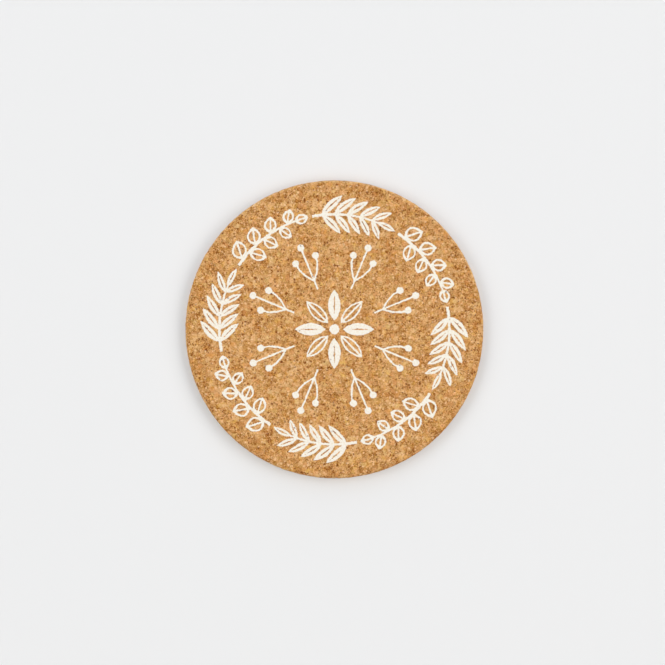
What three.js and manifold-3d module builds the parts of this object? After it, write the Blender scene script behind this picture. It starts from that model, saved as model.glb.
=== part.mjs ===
// A round cork coaster with a wreath of leaves screen-printed on its top in white ink.
// Millimetres, +Z up. The origin is the centre of the underside, which lies on the table.
import * as THREE from 'three';
import { mergeVertices } from 'three/addons/utils/BufferGeometryUtils.js';
import Module from 'manifold-3d';

const wasm = await Module();
wasm.setup();

// Cork disc
const DISC_DIAMETER = 100;
const DISC_THICKNESS = 4;
const TOP_EDGE_RADIUS = 1.2;
const BOTTOM_EDGE_RADIUS = 0.6;

// Ink: every printed patch is a film of one thickness on the disc's flat top
const INK_THICKNESS = 0.08;
const BARE_BORDER = 4.8;
const INK_GAP = 1.2;
const LINE_WIDTH = 0.6;
const BARE_MIDRIB_WIDTH = 0.5;

// Leaves: where a leaf is fullest and where its bare midrib runs, as shares of its length
const LEAF_BASE_FULLNESS = 0.25;
const LEAF_TIP_FULLNESS = 0.3;
const MIDRIB_FROM_SHARE = 0.2;
const MIDRIB_TO_SHARE = 0.86;

// Wreath: sprigs of two kinds, in turn, run round the disc one behind the other
const SPRIG_PAIR_COUNT = 4;
const STEM_BASE_WIDTH = 1;
const STEM_TIP_WIDTH = 0.6;
const STEM_INTO_LEAF = 1.2;
const TIP_LEAF_SCALE = 0.72;

const LAUREL_LEAF_LENGTH = 9.6;
const LAUREL_LEAF_WIDTH = 2.8;
const LAUREL_LEAF_SPACING = 4.2;
const LAUREL_BARE_TIP = 2;
const LAUREL_BARE_BASE = 2.4;
const LAUREL_LEAF_ANGLE = THREE.MathUtils.degToRad(44);

const ROUND_LEAF_LENGTH = 6.8;
const ROUND_LEAF_WIDTH = 5;
const ROUND_LEAF_SPACING = 3.2;
const ROUND_BARE_TIP = 2.6;
const ROUND_BARE_BASE = 2;
const ROUND_LEAF_ANGLE = THREE.MathUtils.degToRad(60);

// Rosette of filled and drawn leaves, in turn, round a dot in the middle
const ROSETTE_PAIR_COUNT = 4;
const CENTRE_DOT_RADIUS = 1.7;
const ROSETTE_LEAF_LENGTH = 10.4;
const ROSETTE_LEAF_WIDTH = 4.2;

// Twigs with berries, which fill the ring between the rosette and the wreath;
// a branch leaves its stalk and ends at shares of the stalk's length
const TWIG_COUNT = 8;
const TWIG_WIDTH = 0.6;
const BERRY_RADIUS = 1.2;
const TWIG_SPREAD = 3.6;
const BRANCH_FROM_SHARE = 0.2;
const BRANCH_TO_SHARE = 0.72;

// Where the first copy of a motif stands, as a share of the angle from one copy to the next
const WREATH_START_SHARE = 0.125;
const MIDWAY_SHARE = 0.5;

// Smoothness of curved outlines
const RIM_SEGMENTS = 96;
const EDGE_STEPS = 2;
const LEAF_STEPS = 6;
const MIDRIB_STEPS = 2;
const BERRY_STEPS = 6;
const STEM_STEPS = 8;
const TWIG_STEPS = 3;

// Layout of the print: the wreath keeps clear of the rim, the rosette of the dot,
// and the twigs take the room that is left between rosette and wreath
const laurelReach = LAUREL_LEAF_LENGTH * Math.sin(LAUREL_LEAF_ANGLE);
const roundReach = ROUND_LEAF_LENGTH * Math.sin(ROUND_LEAF_ANGLE);
const wreathReach = Math.max(laurelReach, roundReach);
const wreathRadius = DISC_DIAMETER / 2 - BARE_BORDER - wreathReach;
const sprigLength = (Math.PI * wreathRadius) / SPRIG_PAIR_COUNT - INK_GAP;
const rosetteInnerRadius = CENTRE_DOT_RADIUS + INK_GAP;
const twigInnerRadius = rosetteInnerRadius + ROSETTE_LEAF_LENGTH + INK_GAP;
const twigOuterRadius = wreathRadius - wreathReach - INK_GAP;

const corkMaterial = new THREE.MeshStandardMaterial({ color: 0xc9955d, roughness: 0.92, metalness: 0 });
const inkMaterial = new THREE.MeshStandardMaterial({ color: 0xfbf6ec, roughness: 0.6, metalness: 0 });

// Joining the overlapping shapes of one patch of ink into one closed film

function solidOf(geometry) {
  const bare = new THREE.BufferGeometry().setAttribute('position', geometry.getAttribute('position'));
  const merged = mergeVertices(bare);
  return new wasm.Manifold(new wasm.Mesh({
    numProp: 3,
    vertProperties: merged.getAttribute('position').array,
    triVerts: new Uint32Array(merged.getIndex().array),
  }));
}

function geometryOf(solid) {
  const mesh = solid.getMesh();
  return new THREE.BufferGeometry()
    .setAttribute('position', new THREE.BufferAttribute(mesh.vertProperties, 3))
    .setIndex(new THREE.BufferAttribute(mesh.triVerts, 1));
}

function inkFilm(shapes) {
  const film = { depth: INK_THICKNESS, bevelEnabled: false };
  const solids = shapes.map((shape) => solidOf(new THREE.ExtrudeGeometry(shape, film)));
  return geometryOf(solids.reduce((joined, solid) => joined.add(solid)));
}

// Outlines: each runs anticlockwise and lies along +X from its base

// One side of a leaf: a curve that bulges to the given height between two points of the axis.
// A cubic curve rises to three quarters of the height of its two control points.
function bulge(path, fromX, toX, height, fromFullness, toFullness) {
  const control = (height * 4) / 3;
  const span = toX - fromX;
  path.bezierCurveTo(fromX + fromFullness * span, control, toX - toFullness * span, control, toX, 0);
}

function pointedOutline(path, fromX, toX, width) {
  path.moveTo(fromX, 0);
  bulge(path, fromX, toX, -width / 2, LEAF_BASE_FULLNESS, LEAF_TIP_FULLNESS);
  bulge(path, toX, fromX, width / 2, LEAF_TIP_FULLNESS, LEAF_BASE_FULLNESS);
  return path;
}

// A leaf filled with ink, its midrib left bare.
function filledLeaf(length, width) {
  const leaf = pointedOutline(new THREE.Shape(), 0, length, width);
  const midrib = pointedOutline(
    new THREE.Path(),
    MIDRIB_FROM_SHARE * length,
    MIDRIB_TO_SHARE * length,
    BARE_MIDRIB_WIDTH,
  );
  return { outline: leaf.getPoints(LEAF_STEPS), holes: [midrib.getPoints(MIDRIB_STEPS)] };
}

// A leaf drawn as a line round its edge and a line along its midrib, with bare cork in its halves.
// At the pointed ends the two sides close in, so the bare halves stop two lines short of them.
function drawnLeaf(length, width) {
  const leaf = pointedOutline(new THREE.Shape(), 0, length, width);
  const fromX = 2 * LINE_WIDTH;
  const toX = length - 2 * LINE_WIDTH;
  const halfWidth = width / 2 - LINE_WIDTH - LINE_WIDTH / 2;
  const holes = [1, -1].map((side) => {
    const half = new THREE.Path();
    half.moveTo(fromX, 0);
    bulge(half, fromX, toX, side * halfWidth, LEAF_BASE_FULLNESS, LEAF_TIP_FULLNESS);
    return half.getPoints(LEAF_STEPS).map((p) => new THREE.Vector2(p.x, p.y + (side * LINE_WIDTH) / 2));
  });
  return { outline: leaf.getPoints(LEAF_STEPS), holes };
}

function dot(radius) {
  const circle = new THREE.Path().absarc(0, 0, radius, 0, 2 * Math.PI);
  return { outline: circle.getPoints(BERRY_STEPS), holes: [] };
}

// A stem that follows a curve and narrows evenly from its base to its tip.
function stem(curve, baseWidth, tipWidth, steps) {
  const edge = (side) => Array.from({ length: steps + 1 }, (_, i) => {
    const t = i / steps;
    const tangent = curve.getTangent(t);
    const offset = (side * THREE.MathUtils.lerp(baseWidth, tipWidth, t)) / 2;
    return curve.getPoint(t).add(new THREE.Vector2(-tangent.y * offset, tangent.x * offset));
  });
  return { outline: [...edge(-1), ...edge(1).reverse()], holes: [] };
}

// Placing an outline: each of its points is moved, and the result is a shape to extrude

function placed({ outline, holes }, place) {
  const shape = new THREE.Shape(outline.map(place));
  shape.holes = holes.map((hole) => new THREE.Path(hole.map(place)));
  return shape;
}

function movedTo(x, y, angle = 0) {
  const target = new THREE.Vector2(x, y);
  const base = new THREE.Vector2();
  return (p) => p.clone().rotateAround(base, angle).add(target);
}

// Bends the flat strip round the wreath, so that +X runs clockwise and +Y outwards.
function roundWreath(p) {
  const angle = -p.x / wreathRadius;
  const radius = wreathRadius + p.y;
  return new THREE.Vector2(radius * Math.cos(angle), radius * Math.sin(angle));
}

// Sprigs of the wreath: a stem, a leaf at its tip, and leaves at even steps back from the tip

function sprig({ leaf, length, width, spacing, angle, bareTip, bareBase, paired }) {
  const tipLength = TIP_LEAF_SCALE * length;
  const stemLength = sprigLength - tipLength;
  const axis = new THREE.LineCurve(
    new THREE.Vector2(),
    new THREE.Vector2(stemLength + STEM_INTO_LEAF, 0),
  );
  const shapes = [placed(stem(axis, STEM_BASE_WIDTH, STEM_TIP_WIDTH, STEM_STEPS), roundWreath)];
  const addLeaf = (x, turn, scale) => {
    const place = movedTo(x, 0, turn);
    shapes.push(placed(leaf(scale * length, scale * width), (p) => roundWreath(place(p))));
  };
  addLeaf(stemLength, 0, TIP_LEAF_SCALE);
  const lastLeaf = stemLength - bareTip;
  const nodeCount = Math.floor((lastLeaf - bareBase) / spacing) + 1;
  for (let i = 0; i < nodeCount; i += 1) {
    const x = lastLeaf - i * spacing;
    const scale = THREE.MathUtils.lerp(1, TIP_LEAF_SCALE, x / stemLength);
    const sides = paired ? [1, -1] : [i % 2 ? -1 : 1];
    sides.forEach((side) => addLeaf(x, side * angle, scale));
  }
  return inkFilm(shapes);
}

const laurelSprig = () => sprig({
  leaf: filledLeaf,
  length: LAUREL_LEAF_LENGTH,
  width: LAUREL_LEAF_WIDTH,
  spacing: LAUREL_LEAF_SPACING,
  angle: LAUREL_LEAF_ANGLE,
  bareTip: LAUREL_BARE_TIP,
  bareBase: LAUREL_BARE_BASE,
  paired: true,
});

const roundLeafSprig = () => sprig({
  leaf: drawnLeaf,
  length: ROUND_LEAF_LENGTH,
  width: ROUND_LEAF_WIDTH,
  spacing: ROUND_LEAF_SPACING,
  angle: ROUND_LEAF_ANGLE,
  bareTip: ROUND_BARE_TIP,
  bareBase: ROUND_BARE_BASE,
  paired: false,
});

// Middle of the print, drawn along +X

const rosetteLeaf = (leaf) => inkFilm([
  placed(leaf(ROSETTE_LEAF_LENGTH, ROSETTE_LEAF_WIDTH), movedTo(rosetteInnerRadius, 0)),
]);

const centreDot = () => inkFilm([placed(dot(CENTRE_DOT_RADIUS), movedTo(0, 0))]);

// A straight stalk and a curved branch on either side, each with a berry on its end.
function berryTwig() {
  const stalk = twigOuterRadius - BERRY_RADIUS - twigInnerRadius;
  const fromX = BRANCH_FROM_SHARE * stalk;
  const toX = BRANCH_TO_SHARE * stalk;
  const branch = (side) => new THREE.QuadraticBezierCurve(
    new THREE.Vector2(fromX, 0),
    new THREE.Vector2((fromX + toX) / 2, side * TWIG_SPREAD),
    new THREE.Vector2(toX, side * TWIG_SPREAD),
  );
  const curves = [
    new THREE.LineCurve(new THREE.Vector2(), new THREE.Vector2(stalk, 0)),
    branch(1),
    branch(-1),
  ];
  const along = movedTo(twigInnerRadius, 0);
  return inkFilm(curves.flatMap((curve) => {
    const tip = along(curve.getPoint(1));
    return [
      placed(stem(curve, TWIG_WIDTH, TWIG_WIDTH, TWIG_STEPS), along),
      placed(dot(BERRY_RADIUS), movedTo(tip.x, tip.y)),
    ];
  }));
}

// The disc, turned from one profile: flat faces, an upright side and eased edges.
function corkDisc() {
  const radius = DISC_DIAMETER / 2;
  const topEdge = DISC_THICKNESS - TOP_EDGE_RADIUS;
  const profile = new THREE.Path();
  profile.moveTo(0, 0);
  profile.lineTo(radius - BOTTOM_EDGE_RADIUS, 0);
  profile.absarc(radius - BOTTOM_EDGE_RADIUS, BOTTOM_EDGE_RADIUS, BOTTOM_EDGE_RADIUS, -Math.PI / 2, 0);
  profile.lineTo(radius, topEdge);
  profile.absarc(radius - TOP_EDGE_RADIUS, topEdge, TOP_EDGE_RADIUS, 0, Math.PI / 2);
  profile.lineTo(0, DISC_THICKNESS);
  return new THREE.LatheGeometry(profile.getPoints(EDGE_STEPS), RIM_SEGMENTS).rotateX(Math.PI / 2);
}

// Assembly

const coaster = new THREE.Group();

function addPiece(name, geometry, material) {
  const mesh = new THREE.Mesh(geometry, material);
  mesh.name = name;
  coaster.add(mesh);
  return mesh;
}

// Prints copies of a patch at even angles round the disc, the first at a share of one step.
function printRound(name, geometry, count, startShare) {
  const step = (2 * Math.PI) / count;
  for (let i = 0; i < count; i += 1) {
    const mesh = addPiece(`${name}_${i + 1}`, geometry, inkMaterial);
    mesh.position.z = DISC_THICKNESS;
    mesh.rotation.z = (startShare + i) * step;
  }
}

addPiece('cork_disc', corkDisc(), corkMaterial);
printRound('ink_laurel_sprig', laurelSprig(), SPRIG_PAIR_COUNT, WREATH_START_SHARE);
printRound('ink_round_leaf_sprig', roundLeafSprig(), SPRIG_PAIR_COUNT, WREATH_START_SHARE + MIDWAY_SHARE);
printRound('ink_berry_twig', berryTwig(), TWIG_COUNT, MIDWAY_SHARE);
printRound('ink_rosette_filled_leaf', rosetteLeaf(filledLeaf), ROSETTE_PAIR_COUNT, 0);
printRound('ink_rosette_drawn_leaf', rosetteLeaf(drawnLeaf), ROSETTE_PAIR_COUNT, MIDWAY_SHARE);
printRound('ink_centre_dot', centreDot(), 1, 0);

export default coaster;
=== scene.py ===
"""A round cork coaster with a wreath of leaves printed on its top in white ink, on a pale table.

Lengths are in millimetres while shapes are worked out, and in metres in every mesh.
"""

import math

import bpy
import numpy as np
from mathutils import Color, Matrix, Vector, noise
from mathutils.geometry import delaunay_2d_cdt


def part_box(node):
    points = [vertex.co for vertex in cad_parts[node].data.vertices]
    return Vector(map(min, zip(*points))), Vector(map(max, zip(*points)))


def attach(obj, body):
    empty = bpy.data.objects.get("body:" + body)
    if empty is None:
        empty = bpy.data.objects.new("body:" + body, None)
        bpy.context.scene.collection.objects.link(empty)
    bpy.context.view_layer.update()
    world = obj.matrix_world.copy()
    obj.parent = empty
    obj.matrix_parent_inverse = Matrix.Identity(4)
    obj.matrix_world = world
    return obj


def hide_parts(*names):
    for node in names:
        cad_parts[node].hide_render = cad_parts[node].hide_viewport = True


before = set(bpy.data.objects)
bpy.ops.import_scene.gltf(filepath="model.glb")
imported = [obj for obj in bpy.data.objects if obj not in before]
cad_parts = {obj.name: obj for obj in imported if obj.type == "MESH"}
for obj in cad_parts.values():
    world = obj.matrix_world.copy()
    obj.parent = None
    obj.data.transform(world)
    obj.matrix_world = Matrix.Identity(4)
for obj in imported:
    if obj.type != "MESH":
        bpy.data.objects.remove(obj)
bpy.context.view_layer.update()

MM = 0.001
_, disc_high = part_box("cork_disc")
DISC_RADIUS = disc_high.x / MM
DISC_THICKNESS = disc_high.z / MM

# Cork disc: rounded edges, and the spacing of its vertices on the top, the rim and the underside
TOP_EDGE_RADIUS = 1.2
BOTTOM_EDGE_RADIUS = 0.6
TOP_STEP = 0.4
RIM_STEP = 0.36
BOTTOM_STEP = 0.8
EDGE_ARC_STEPS = 5
FEWEST_IN_RING = 6

# Flat layout for baked pictures, in shares of a picture's width: top, underside, and strips of the edge
LAYOUT_NAME = "OFBake"
LAYOUT_MARGIN = 0.01
TOP_SPAN = 0.78
UNDERSIDE_SPAN = 0.36
STRIP_COUNT = 4
STRIP_LENGTH = 0.6
STRIP_WIDTH = 0.038
STRIP_SPACING = 0.045

# Cork granules: sizes of coarse and fine ones, share of coarse ones broken into fine, and bent outlines
COARSE_GRANULE = 1.4
FINE_GRANULE = 0.5
BROKEN_SHARE = 0.6
GRANULE_BEND = 0.55
BEND_SIZE = 0.5

# Cork relief below the sanded surface
GROOVE_WIDTH = 0.14
GROOVE_DEPTH = 0.05
GRANULE_STEP = 0.035
PIT_SPACING = 1.6
PIT_RADIUS = 0.42
PIT_DEPTH = 0.16

# How many times as deep the relief is on the wall, and how far up normals point on flats and wall
RIM_RELIEF = 2.2
FLAT_NORMAL = 0.95
WALL_NORMAL = 0.3

# Cork colours from dark to pale, as (tone, red, green, blue) with the colour from 0 to 255
SCREEN_WHITE = 255
CORK_TONES = [
    (0.0, 118, 53, 0),
    (0.25, 179, 121, 60),
    (0.5, 216, 164, 106),
    (0.75, 236, 193, 140),
    (1.0, 252, 219, 178),
]
BARK = (106, 40, 0)
FLECK = (250, 212, 166)
RED_TINT = (255, 242, 232)
YELLOW_TINT = (250, 252, 230)
ORANGE_TINT = (255, 248, 216)
GREY_TINT = (246, 250, 255)

# Noises and cells give values from 0 to 1 about this middle, and more detail makes a noise rougher
MIDDLE = 0.5
PLAIN_DETAIL = 2
FINE_DETAIL = 3

# Cork tone: its middle, and how much granules, their growth layers and fine speckles change it
MIDDLE_TONE = 0.515
GRANULE_CONTRAST = 0.27
STREAK_CONTRAST = 0.85
STREAK_LENGTH = 1.0
STREAK_WIDTH = 0.3
STREAK_AXIS = (0.5, 0.6, 0.62)
SPECKLE_CONTRAST = 1.3
SPECKLE_SIZE = 0.3
WHOLE_SMOOTHNESS = 0.7

# Wide blotches of tone, and patches of another hue
BLOTCH_CONTRAST = 0.4
BLOTCH_SIZE = 4
PATCH_HUE = 2.6
PATCH_SIZE = 2.0

# Dark seams with breaks in them, dark pits and bark, and pale flecks, all spots with one soft edge
SEAM_SHADE = 0.26
SEAM_BREAK_SIZE = 1.1
SEAM_BREAKS = (0.4, 0.6)
PIT_SHADE = 0.3
SPOT_EDGE = 0.08
BARK_SPACING = 1.1
BARK_RADIUS = 0.36
BARK_COVER = 0.8
FLECK_SPACING = 1.1
FLECK_RADIUS = 0.38
FLECK_COVER = 0.6
FLECK_SHIFT = (0, 0, 20)

# Rim: the top darkens a little towards it, and its upper edge is paler, partly from wear and partly a
# painted highlight, with painted light making it paler towards +Y and less pale towards -Y
RIM_SHADE = 0.06
RIM_SHADE_WIDTH = 7
EDGE_WIDTH = 1.2
EDGE_DROP = 1.8
EDGE_WEAR_AND_HIGHLIGHT = 0.17
EDGE_PAINTED_LIGHT_ALONG_Y = 0.11

# Cork finish
CORK_ROUGHNESS = (0.72, 0.92)
CORK_SHINE = 0.1
CORK_BUMP = 0.5
CORK_BUMP_HEIGHT = 0.08
SEAM_BUMP = 0.6
SPECKLE_BUMP = 0.4

# Ink film: how far it stands above the cork and reaches into it, and how ragged its outline is
INK_ABOVE = 0.06
INK_BELOW = 0.06
OUTLINE_STEP = 0.14
OUTLINE_ROUNDING = 2
OUTLINE_WOBBLE = 0.12
WOBBLE_SIZE = 1.6
OUTLINE_FRAY = 0.2
FRAY_SIZE = 0.45
FRAY_SHIFT = 9

# Ink mesh: how far up a top face points, how finely points are told apart, and what is filled
UPWARD = 0.5
DECIMALS = 4
SAME_POINT = 1e-5
FILL_INSIDE = 1
FEWEST_IN_LOOP = 8

# Ink finish: thick and thin ink, and pinholes where the cork shows
FULL_INK = (249, 243, 231)
THIN_INK = (240, 227, 206)
MOTTLE_SIZE = 0.5
MOTTLE_LIMITS = (0.3, 0.6)
PINHOLE_SPACING = 2.2
PINHOLE_RADIUS = 0.3
PINHOLE_COVER = 0.8
INK_ROUGHNESS = (0.5, 0.7)
INK_SHINE = 0.3
INK_BUMP = 0.3
INK_BUMP_HEIGHT = 0.05
SEAM_UNDER_INK = 0.5

# Photograph: size of the picture, and the disc's centre and diameter in it, in pixels
PICTURE_SIZE = 665
DISC_CENTRE_X = 334.4
DISC_CENTRE_Y = 329.3
DISC_WIDTH = 298.22

# Camera: its height above the disc's widest outline
CAMERA_HEIGHT = 800

# Stage, with lengths in metres and angles in degrees: pale floor, faint light of the room, and lamps
FLOOR_WHITE = 0.86
FLOOR_RADIUS = 1
FLOOR_SIDES = 96
FLOOR_ROUGHNESS = 0.9
FLOOR_SHINE = 0.1
ROOM_LIGHT = 0.12
BACKDROP_WHITE = 0.86
LAMP_DISTANCE = 3
LAMP_ELEVATION = 40
LAMP_SIZE = 2
WARM_LIGHT = (1.129, 0.967, 0.851)
PLAIN_LIGHT = (1.004, 0.989, 1.06)
COOL_LIGHT = (0.8, 1.061, 1.2)


# Node trees


class Field:
    """A value that a node tree works out at each point, with plain arithmetic."""

    def __init__(self, socket):
        self.socket = socket
        self.tree = socket.id_data

    def worked_out(self, kind, operation, values):
        """What a node of the given kind makes of this field and the other values."""
        inputs = dict(enumerate((self, *values)))
        return Field(node(self.tree, kind, inputs, operation=operation).outputs[0])

    def math(self, operation, *values):
        return self.worked_out("ShaderNodeMath", operation, values)

    def vector_math(self, operation, *values):
        return self.worked_out("ShaderNodeVectorMath", operation, values)

    def scaled(self, factor):
        """A vector times a plain number."""
        return self.vector_math("MULTIPLY", (factor, factor, factor))

    def __add__(self, other):
        return self.math("ADD", other)

    def __sub__(self, other):
        return self.math("SUBTRACT", other)

    def __mul__(self, other):
        return self.math("MULTIPLY", other)

    def least(self, other):
        return self.math("MINIMUM", other)

    def above(self, limit):
        return self.math("GREATER_THAN", limit)

    def spread(self, contrast):
        """Values from 0 to 1 as a change of tone, either side of none."""
        return (self - MIDDLE) * contrast

    def ramp(self, start, end):
        """0 at start, 1 at end, and an even S-curve between them."""
        made = node(
            self.tree,
            "ShaderNodeMapRange",
            {"Value": self, "From Min": start, "From Max": end},
            interpolation_type="SMOOTHSTEP",
        )
        return Field(made.outputs[0])

    def blend(self, first, second):
        """first where this is 0, second where it is 1."""
        return self * (second - first) + first

    def parts(self):
        split = node(self.tree, "ShaderNodeSeparateXYZ", {0: self})
        return [Field(out) for out in split.outputs]


def feed(slot, value):
    """Links a field to an input, or sets the input to a plain value."""
    if isinstance(value, Field):
        value.tree.links.new(value.socket, slot)
    else:
        slot.default_value = value


def node(tree, kind, inputs, **settings):
    made = tree.nodes.new(kind)
    for name, value in settings.items():
        setattr(made, name, value)
    for name, value in inputs.items():
        feed(made.inputs[name], value)
    return made


def noise_at(place, size, detail=PLAIN_DETAIL):
    """Noise from 0 to 1 with features of about the given size."""
    inputs = {"Vector": place, "Scale": 1 / size, "Detail": detail}
    return Field(node(place.tree, "ShaderNodeTexNoise", inputs).outputs["Fac"])


def noise_vector_at(place, size):
    """Three noises from -1 to 1."""
    inputs = {"Vector": place, "Scale": 1 / size}
    made = node(place.tree, "ShaderNodeTexNoise", inputs, normalize=False)
    return Field(made.outputs["Color"])


def cells(place, size):
    """Cells of about the given size: random numbers of each, and distances to its middle and edge."""
    inputs = {"Vector": place, "Scale": 1 / size}
    middle = node(place.tree, "ShaderNodeTexVoronoi", inputs, feature="F1")
    edge = node(place.tree, "ShaderNodeTexVoronoi", inputs, feature="DISTANCE_TO_EDGE")
    return {
        "random": Field(middle.outputs["Color"]).parts(),
        "middle": Field(middle.outputs["Distance"]) * size,
        "edge": Field(edge.outputs["Distance"]) * size,
    }


def spots(place, spacing, radius):
    """1 inside round spots of random sizes up to the given radius, 0 outside."""
    made = cells(place, spacing)
    return (made["middle"] - made["random"][0] * radius).ramp(SPOT_EDGE, -SPOT_EDGE)


def cork_grain(position):
    """Where the granules and pits of the cork are, worked out in its solid at a position in metres."""
    place = position.scaled(1 / MM)
    bent = place.vector_math("ADD", noise_vector_at(place, BEND_SIZE).scaled(GRANULE_BEND / 2))
    coarse = cells(bent, COARSE_GRANULE)
    fine = cells(bent, FINE_GRANULE)
    whole = coarse["random"][0].above(BROKEN_SHARE)
    return {
        "place": place,
        "bent": bent,
        "whole": whole,
        "tone": whole.blend(fine["random"][1], coarse["random"][1]),
        "turn": whole.blend(fine["random"][2], coarse["random"][2]),
        "edge": coarse["edge"].least(fine["edge"] + whole * COARSE_GRANULE),
        "pit": spots(bent, PIT_SPACING, PIT_RADIUS),
    }


# Cork disc


def disc_rings():
    """The disc as rings of (radius, height, vertex count), from the top's middle to the underside's."""
    rim_count = round(2 * math.pi * DISC_RADIUS / RIM_STEP)

    def ring(radius, height, step):
        return radius, height, max(FEWEST_IN_RING, round(2 * math.pi * radius / step))

    def flat(height, outer, step):
        steps = round(outer / step)
        return [ring(outer * i / steps, height, step) for i in range(1, steps)]

    def arc(radius, middle_height, start):
        middle = DISC_RADIUS - radius
        angles = [start - math.pi / 2 * i / EDGE_ARC_STEPS for i in range(EDGE_ARC_STEPS + 1)]
        return [
            (middle + radius * math.cos(a), middle_height + radius * math.sin(a), rim_count)
            for a in angles
        ]

    top_arc = arc(TOP_EDGE_RADIUS, DISC_THICKNESS - TOP_EDGE_RADIUS, math.pi / 2)
    bottom_arc = arc(BOTTOM_EDGE_RADIUS, BOTTOM_EDGE_RADIUS, 0)
    wall_top, wall_bottom = top_arc[-1][1], bottom_arc[0][1]
    wall_steps = round((wall_top - wall_bottom) / RIM_STEP)
    wall = [
        (DISC_RADIUS, wall_top + (wall_bottom - wall_top) * i / wall_steps, rim_count)
        for i in range(1, wall_steps)
    ]
    top = flat(DISC_THICKNESS, DISC_RADIUS - TOP_EDGE_RADIUS, TOP_STEP)
    underside = flat(0, DISC_RADIUS - BOTTOM_EDGE_RADIUS, BOTTOM_STEP)[::-1]
    return top + top_arc + wall + bottom_arc + underside


def ring_faces(inner, outer):
    """Triangles between two neighbouring rings of vertices, whose counts may differ."""
    faces = []
    i = j = 0
    while i < len(inner) or j < len(outer):
        here, there = inner[i % len(inner)], outer[j % len(outer)]
        if j == len(outer) or (i < len(inner) and (i + 1) * len(outer) <= (j + 1) * len(inner)):
            faces.append((here, there, inner[(i + 1) % len(inner)]))
            i += 1
        else:
            faces.append((here, there, outer[(j + 1) % len(outer)]))
            j += 1
    return faces


def edge_strips(corners):
    """Where the corners of the edge's triangles lie in strips that run up the layout's right side."""
    x, y, height = np.moveaxis(corners, -1, 0)
    turn = np.arctan2(y, x) / (2 * math.pi) % 1
    turn += turn < turn.max(1, keepdims=True) - 1 / 2
    strip = np.floor(turn.mean(1, keepdims=True) * STRIP_COUNT)
    inward = (DISC_RADIUS - np.hypot(x, y)) * np.sign(DISC_THICKNESS / 2 - height)
    down = TOP_EDGE_RADIUS + inward + DISC_THICKNESS - height
    across = down / (TOP_EDGE_RADIUS + DISC_THICKNESS + BOTTOM_EDGE_RADIUS) * STRIP_WIDTH
    start = 1 - LAYOUT_MARGIN - (STRIP_COUNT - strip) * STRIP_SPACING
    return np.stack([start + across, LAYOUT_MARGIN + (turn * STRIP_COUNT - strip) * STRIP_LENGTH], -1)


def lay_out(mesh, corners):
    """Lays the disc's triangles out flat, from the places of their corners."""
    flat = corners[..., :2] / DISC_RADIUS / 2
    top = flat * TOP_SPAN + LAYOUT_MARGIN + TOP_SPAN / 2
    underside = flat * (-UNDERSIDE_SPAN, UNDERSIDE_SPAN) + 1 - LAYOUT_MARGIN - UNDERSIDE_SPAN / 2
    height = corners[..., 2]
    on_top = np.isclose(height, DISC_THICKNESS).all(1)[:, None, None]
    below = np.isclose(height, 0).all(1)[:, None, None]
    places = np.where(on_top, top, np.where(below, underside, edge_strips(corners)))
    mesh.uv_layers.new(name=LAYOUT_NAME).data.foreach_set("uv", places.ravel())


def disc_mesh():
    points = [(0, 0, DISC_THICKNESS)]
    rings = [[0]]
    for radius, height, count in disc_rings():
        rings.append(list(range(len(points), len(points) + count)))
        for i in range(count):
            angle = 2 * math.pi * i / count
            points.append((radius * math.cos(angle), radius * math.sin(angle), height))
    rings.append([len(points)])
    points.append((0, 0, 0))
    faces = []
    for inner, outer in zip(rings, rings[1:]):
        faces += [f for f in ring_faces(inner, outer) if len(set(f)) == len(f)]
    mesh = bpy.data.meshes.new("cork_body")
    mesh.from_pydata([Vector(p) * MM for p in points], [], faces)
    mesh.shade_smooth()
    lay_out(mesh, np.array(points)[np.array(faces)])
    return mesh


def sink_grain(piece):
    """Sinks the grooves, steps and pits of the grain into the piece's surface."""
    tree = bpy.data.node_groups.new("cork_relief", "GeometryNodeTree")
    for way in ("INPUT", "OUTPUT"):
        tree.interface.new_socket("Geometry", in_out=way, socket_type="NodeSocketGeometry")
    shape_in = tree.nodes.new("NodeGroupInput")
    shape_out = tree.nodes.new("NodeGroupOutput")
    grain = cork_grain(Field(tree.nodes.new("GeometryNodeInputPosition").outputs[0]))
    normal = Field(tree.nodes.new("GeometryNodeInputNormal").outputs["Normal"])
    on_rim = normal.parts()[2].math("ABSOLUTE").ramp(FLAT_NORMAL, WALL_NORMAL)
    groove = grain["edge"].ramp(GROOVE_WIDTH, 0) * GROOVE_DEPTH
    step = grain["turn"] * GRANULE_STEP
    pit = grain["pit"] * PIT_DEPTH
    depth = (groove + step + pit) * on_rim.blend(1, RIM_RELIEF)
    offset = node(tree, "ShaderNodeVectorMath", {0: normal, "Scale": depth * -MM}, operation="SCALE")
    inputs = {"Geometry": Field(shape_in.outputs[0]), "Offset": Field(offset.outputs[0])}
    moved = node(tree, "GeometryNodeSetPosition", inputs)
    feed(shape_out.inputs[0], Field(moved.outputs[0]))
    modifier = piece.modifiers.new("relief", "NODES")
    modifier.node_group = tree
    bpy.context.view_layer.update()
    evaluated = piece.evaluated_get(bpy.context.evaluated_depsgraph_get())
    relieved = bpy.data.meshes.new_from_object(evaluated)
    piece.modifiers.clear()
    piece.data = relieved


def cork_disc(material):
    piece = bpy.data.objects.new("cork_body", disc_mesh())
    bpy.context.collection.objects.link(piece)
    sink_grain(piece)
    piece.data.materials.clear()
    piece.data.materials.append(material)
    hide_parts("cork_disc")
    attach(piece, "root")
    return piece


# Ink films


def outer_edges(faces):
    """The edges that only one of the faces has, each in that face's direction."""
    edges = {}
    for face in faces:
        for a, b in zip(face, face[1:] + face[:1]):
            if (b, a) in edges:
                del edges[(b, a)]
            else:
                edges[(a, b)] = True
    return list(edges)


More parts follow.
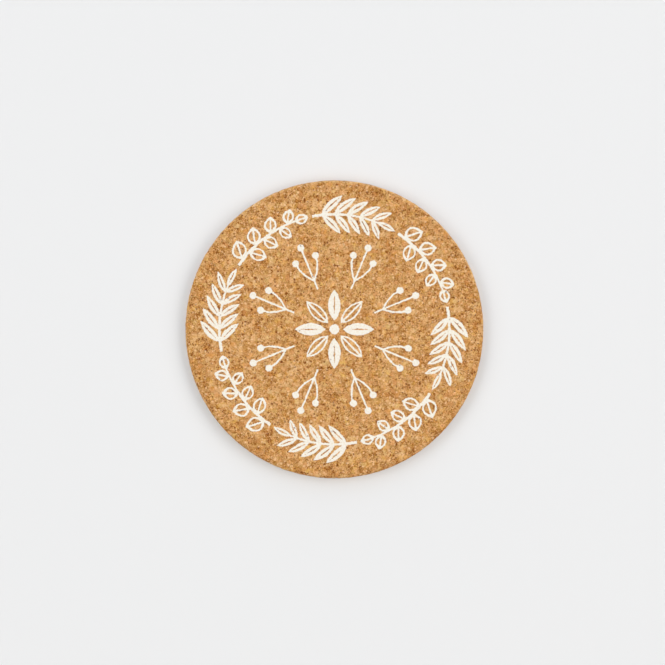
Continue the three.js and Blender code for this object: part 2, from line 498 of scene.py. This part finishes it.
def top_loops(mesh):
    """The loops round a solid's top face, in millimetres: outer ones anticlockwise, holes clockwise."""
    places = [tuple(round(c / MM, DECIMALS) for c in v.co[:2]) for v in mesh.vertices]
    tops = [face for face in mesh.polygons if face.normal.z > UPWARD]
    after = dict(outer_edges([[places[v] for v in face.vertices] for face in tops]))
    loops = []
    while after:
        start, here = after.popitem()
        loop = [start]
        while here != start:
            loop.append(here)
            here = after.pop(here)
        loops.append(np.array(loop))
    return loops


def evenly_spaced(loop, step):
    """Points at even steps round a closed loop."""
    closed = np.vstack([loop, loop[:1]])
    along = np.concatenate([[0], np.cumsum(np.linalg.norm(np.diff(closed, axis=0), axis=1))])
    count = max(FEWEST_IN_LOOP, round(along[-1] / step))
    at = np.linspace(0, along[-1], count, endpoint=False)
    return np.column_stack([np.interp(at, along, closed[:, k]) for k in range(2)])


def printed_edge(loop):
    """A loop as ink leaves it: corners rounded, the line a little unsteady and frayed by the grain."""
    points = evenly_spaced(loop, OUTLINE_STEP)
    for _ in range(OUTLINE_ROUNDING):
        before, after = np.roll(points, 1, 0), np.roll(points, -1, 0)
        points = (before + 2 * points + after) / 4
    ahead = np.roll(points, -1, 0) - np.roll(points, 1, 0)
    outward = np.column_stack([ahead[:, 1], -ahead[:, 0]])
    outward /= np.linalg.norm(outward, axis=1, keepdims=True)
    wobble = [noise.noise(Vector((x, y, 0)) / WOBBLE_SIZE) for x, y in points]
    fray = [noise.noise(Vector((x, y, FRAY_SHIFT)) / FRAY_SIZE) for x, y in points]
    shift = OUTLINE_WOBBLE * np.array(wobble) + OUTLINE_FRAY * np.array(fray)
    return points + outward * shift[:, None]


def inside(points, loops):
    """Whether the loops wind round each point: outer ones run anticlockwise, and holes clockwise."""
    x, y = points[:, :1], points[:, 1:]
    turns = np.zeros(len(points), int)
    for loop in loops:
        ax, ay = loop.T
        bx, by = np.roll(loop, -1, 0).T
        left = (bx - ax) * (y - ay) - (x - ax) * (by - ay)
        turns += ((ay <= y) & (by > y) & (left > 0)).sum(1)
        turns -= ((ay > y) & (by <= y) & (left < 0)).sum(1)
    return turns > 0


def film_mesh(name, loops):
    """A closed flat film inside the given loops."""
    points = np.vstack(loops)
    edges = []
    start = 0
    for loop in loops:
        count = len(loop)
        edges += [(start + i, start + (i + 1) % count) for i in range(count)]
        start += count
    made = delaunay_2d_cdt([Vector(p) for p in points], edges, [], FILL_INSIDE, SAME_POINT)
    flat, _, faces, *_ = made
    middles = np.array([sum((flat[v] for v in face), Vector((0, 0))) / len(face) for face in faces])
    faces = [face for face, kept in zip(faces, inside(middles, loops)) if kept]
    low = DISC_THICKNESS - INK_BELOW
    high = DISC_THICKNESS + INK_ABOVE
    count = len(flat)
    corners = [Vector((p.x, p.y, z)) * MM for z in (high, low) for p in flat]
    sides = [(a + count, b + count, b, a) for a, b in outer_edges(faces)]
    underside = [tuple(v + count for v in face[::-1]) for face in faces]
    mesh = bpy.data.meshes.new(name)
    mesh.from_pydata(corners, [], [tuple(f) for f in faces] + underside + sides)
    return mesh


def ink_film(cad_name, material):
    name = cad_name.replace("ink_", "print_")
    loops = [printed_edge(loop) for loop in top_loops(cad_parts[cad_name].data)]
    piece = bpy.data.objects.new(name, film_mesh(name, loops))
    bpy.context.collection.objects.link(piece)
    piece.data.materials.append(material)
    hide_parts(cad_name)
    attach(piece, "root")
    return piece


# Materials


def new_material(name):
    material = bpy.data.materials.new(name)
    material.use_nodes = True
    return material, material.node_tree, material.node_tree.nodes["Principled BSDF"]


def linear(red, green, blue):
    """A colour from 0 to 255 on a screen, as the amounts of light that the shader works with."""
    shares = [c / SCREEN_WHITE for c in (red, green, blue)]
    return (*Color(shares).from_srgb_to_scene_linear(), 1)


def mixed(factor, first, second, blend_type="MIX"):
    """first where the factor is 0, second where it is 1."""
    settings = {"data_type": "RGBA", "blend_type": blend_type}
    made = node(factor.tree, "ShaderNodeMix", {"Factor": factor}, **settings)
    feed(made.inputs["A"], first)
    feed(made.inputs["B"], second)
    return Field(made.outputs["Result"])


def tinted(colour, drift, tint_above, tint_below):
    """The colour with one tint where the drift is above 0, and with another where it is below."""
    above = mixed(drift.ramp(0, MIDDLE), colour, linear(*tint_above), "MULTIPLY")
    return mixed(drift.ramp(0, -MIDDLE), above, linear(*tint_below), "MULTIPLY")


def colour_ramp(tone, stops):
    made = node(tone.tree, "ShaderNodeValToRGB", {"Fac": tone})
    elements = made.color_ramp.elements
    while len(elements) < len(stops):
        elements.new(1)
    for element, (at, *colour) in zip(elements, stops):
        element.position = at
        element.color = linear(*colour)
    return Field(made.outputs["Color"])


def bumped(height, strength, distance):
    """The surface's normal, tilted as if it rose and fell by the given distance in millimetres."""
    inputs = {"Strength": strength, "Distance": distance * MM, "Height": height}
    return Field(node(height.tree, "ShaderNodeBump", inputs).outputs[0])


def streaks(grain):
    """Growth layers inside the granules, turned another way in each."""
    turn = node(
        grain["place"].tree,
        "ShaderNodeVectorRotate",
        {"Vector": grain["bent"], "Angle": grain["turn"] * (2 * math.pi), "Axis": STREAK_AXIS},
    )
    stretch = STREAK_WIDTH / STREAK_LENGTH
    stretched = Field(turn.outputs[0]).vector_math("MULTIPLY", (1, stretch, stretch))
    return noise_at(stretched, STREAK_WIDTH, FINE_DETAIL)


def cork_material():
    material, tree, shader = new_material("cork")
    grain = cork_grain(Field(tree.nodes.new("ShaderNodeTexCoord").outputs["Object"]))
    x, y, z = grain["place"].parts()
    radius = (x * x + y * y).math("SQRT")
    outward = radius.ramp(DISC_RADIUS - EDGE_WIDTH, DISC_RADIUS)
    upward = z.ramp(DISC_THICKNESS - EDGE_DROP, DISC_THICKNESS - EDGE_DROP / 2)
    speckle = noise_at(grain["place"], SPECKLE_SIZE, FINE_DETAIL)
    unbroken = noise_at(grain["place"], SEAM_BREAK_SIZE).ramp(*SEAM_BREAKS)
    seam = grain["edge"].ramp(GROOVE_WIDTH, 0) * unbroken
    roughened = speckle.spread(SPECKLE_CONTRAST) + streaks(grain).spread(STREAK_CONTRAST)
    tone = (
        grain["tone"].spread(GRANULE_CONTRAST)
        + roughened * grain["whole"].blend(1, WHOLE_SMOOTHNESS)
        + noise_at(grain["place"], BLOTCH_SIZE).spread(BLOTCH_CONTRAST)
        - seam * SEAM_SHADE
        - grain["pit"] * PIT_SHADE
        - radius.ramp(DISC_RADIUS - RIM_SHADE_WIDTH, DISC_RADIUS) * RIM_SHADE
        # Upper edge paler: partly wear, partly painted highlight, plus painted light that grows towards
        # +Y, where the low lamp stands
        + outward * upward * (y * (EDGE_PAINTED_LIGHT_ALONG_Y / DISC_RADIUS) + EDGE_WEAR_AND_HIGHLIGHT)
        + MIDDLE_TONE
    )
    plain = colour_ramp(tone, CORK_TONES)
    varied = tinted(plain, grain["turn"] - MIDDLE, RED_TINT, YELLOW_TINT)
    patch = noise_at(grain["place"], PATCH_SIZE).spread(PATCH_HUE)
    patchy = tinted(varied, patch, ORANGE_TINT, GREY_TINT)
    bark = spots(grain["bent"], BARK_SPACING, BARK_RADIUS) * BARK_COVER
    elsewhere = grain["bent"].vector_math("ADD", FLECK_SHIFT)
    fleck = spots(elsewhere, FLECK_SPACING, FLECK_RADIUS) * FLECK_COVER
    specked = mixed(fleck, mixed(bark, patchy, linear(*BARK)), linear(*FLECK))
    feed(shader.inputs["Base Color"], specked)
    feed(shader.inputs["Roughness"], speckle.blend(*CORK_ROUGHNESS))
    shader.inputs["Specular IOR Level"].default_value = CORK_SHINE
    height = speckle * SPECKLE_BUMP - seam * SEAM_BUMP - grain["pit"]
    feed(shader.inputs["Normal"], bumped(height, CORK_BUMP, CORK_BUMP_HEIGHT))
    return material


def ink_material():
    material, tree, shader = new_material("white_ink")
    grain = cork_grain(Field(tree.nodes.new("ShaderNodeTexCoord").outputs["Object"]))
    mottle = noise_at(grain["place"], MOTTLE_SIZE, FINE_DETAIL)
    white = mixed(mottle.ramp(*MOTTLE_LIMITS), linear(*THIN_INK), linear(*FULL_INK))
    pinhole = spots(grain["bent"], PINHOLE_SPACING, PINHOLE_RADIUS) * PINHOLE_COVER
    feed(shader.inputs["Base Color"], mixed(pinhole, white, linear(*BARK)))
    feed(shader.inputs["Roughness"], mottle.blend(*INK_ROUGHNESS))
    shader.inputs["Specular IOR Level"].default_value = INK_SHINE
    height = mottle - grain["edge"].ramp(GROOVE_WIDTH, 0) * SEAM_UNDER_INK
    feed(shader.inputs["Normal"], bumped(height, INK_BUMP, INK_BUMP_HEIGHT))
    return material


def table_material():
    material, _, shader = new_material("table")
    shader.inputs["Base Color"].default_value = (FLOOR_WHITE, FLOOR_WHITE, FLOOR_WHITE, 1)
    shader.inputs["Roughness"].default_value = FLOOR_ROUGHNESS
    shader.inputs["Specular IOR Level"].default_value = FLOOR_SHINE
    return material


# Stage


def table():
    turns = [2 * math.pi * i / FLOOR_SIDES for i in range(FLOOR_SIDES)]
    rim = [(FLOOR_RADIUS * math.cos(a), FLOOR_RADIUS * math.sin(a), 0) for a in turns]
    mesh = bpy.data.meshes.new("table")
    mesh.from_pydata(rim, [], [range(FLOOR_SIDES)])
    mesh.materials.append(table_material())
    piece = bpy.data.objects.new("table", mesh)
    bpy.context.collection.objects.link(piece)


def lamp(name, azimuth, power, colour, elevation=LAMP_ELEVATION, size=LAMP_SIZE):
    """A square soft box aimed at the disc; azimuth 0 is at the picture's right, 90 at its top."""
    light = bpy.data.lights.new(name, "AREA")
    light.size = size
    light.energy = power
    light.color = colour
    azimuth, elevation = math.radians(azimuth), math.radians(elevation)
    level = math.cos(elevation)
    lit_from = Vector((math.cos(azimuth) * level, math.sin(azimuth) * level, math.sin(elevation)))
    piece = bpy.data.objects.new(name, light)
    piece.location = lit_from * LAMP_DISTANCE
    piece.rotation_euler = lit_from.to_track_quat("Z", "Y").to_euler()
    piece.visible_camera = False
    bpy.context.collection.objects.link(piece)


def room():
    """An even faint light from all round, seen as a pale backdrop."""
    world = bpy.data.worlds.new("room")
    world.use_nodes = True
    tree = world.node_tree
    path = tree.nodes.new("ShaderNodeLightPath").outputs
    seen = Field(path["Is Camera Ray"])
    for kind in ("Is Glossy Ray", "Is Transmission Ray"):
        seen = seen.math("MAXIMUM", Field(path[kind]))
    background = tree.nodes["Background"]
    feed(background.inputs["Color"], mixed(seen, (*COOL_LIGHT, 1), (1, 1, 1, 1)))
    feed(background.inputs["Strength"], seen.blend(ROOM_LIGHT, BACKDROP_WHITE))
    bpy.context.scene.world = world


def lights():
    room()
    lamp("window_right", azimuth=0, power=31.5, colour=WARM_LIGHT)
    lamp("window_left", azimuth=180, power=25, colour=WARM_LIGHT)
    lamp("top_right", azimuth=45, power=12, colour=PLAIN_LIGHT)
    lamp("top_left", azimuth=135, power=11.3, colour=PLAIN_LIGHT)
    lamp("front_left", azimuth=225, power=10.1, colour=WARM_LIGHT)
    lamp("front_right", azimuth=315, power=9.7, colour=WARM_LIGHT)
    lamp("low_top", azimuth=90, power=16.5, colour=PLAIN_LIGHT, elevation=20)
    lamp("ceiling", azimuth=0, power=18.4, colour=COOL_LIGHT, elevation=90, size=0.8)


def camera():
    """Looks straight down, with the disc's widest outline at the size and place of the photograph's."""
    scale = 2 * DISC_RADIUS / DISC_WIDTH
    outline_height = DISC_THICKNESS - TOP_EDGE_RADIUS
    made = bpy.data.cameras.new("camera")
    made.sensor_fit = "HORIZONTAL"
    made.lens = made.sensor_width * CAMERA_HEIGHT / (PICTURE_SIZE * scale)
    piece = bpy.data.objects.new("camera", made)
    piece.location = Vector((
        (PICTURE_SIZE / 2 - DISC_CENTRE_X) * scale,
        (DISC_CENTRE_Y - PICTURE_SIZE / 2) * scale,
        outline_height + CAMERA_HEIGHT,
    )) * MM
    bpy.context.collection.objects.link(piece)
    bpy.context.scene.camera = piece


cork_disc(cork_material())
ink = ink_material()
for name in sorted(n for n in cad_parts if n.startswith("ink_")):
    ink_film(name, ink)
table()
lights()
camera()
bpy.context.scene.view_settings.view_transform = "Standard"
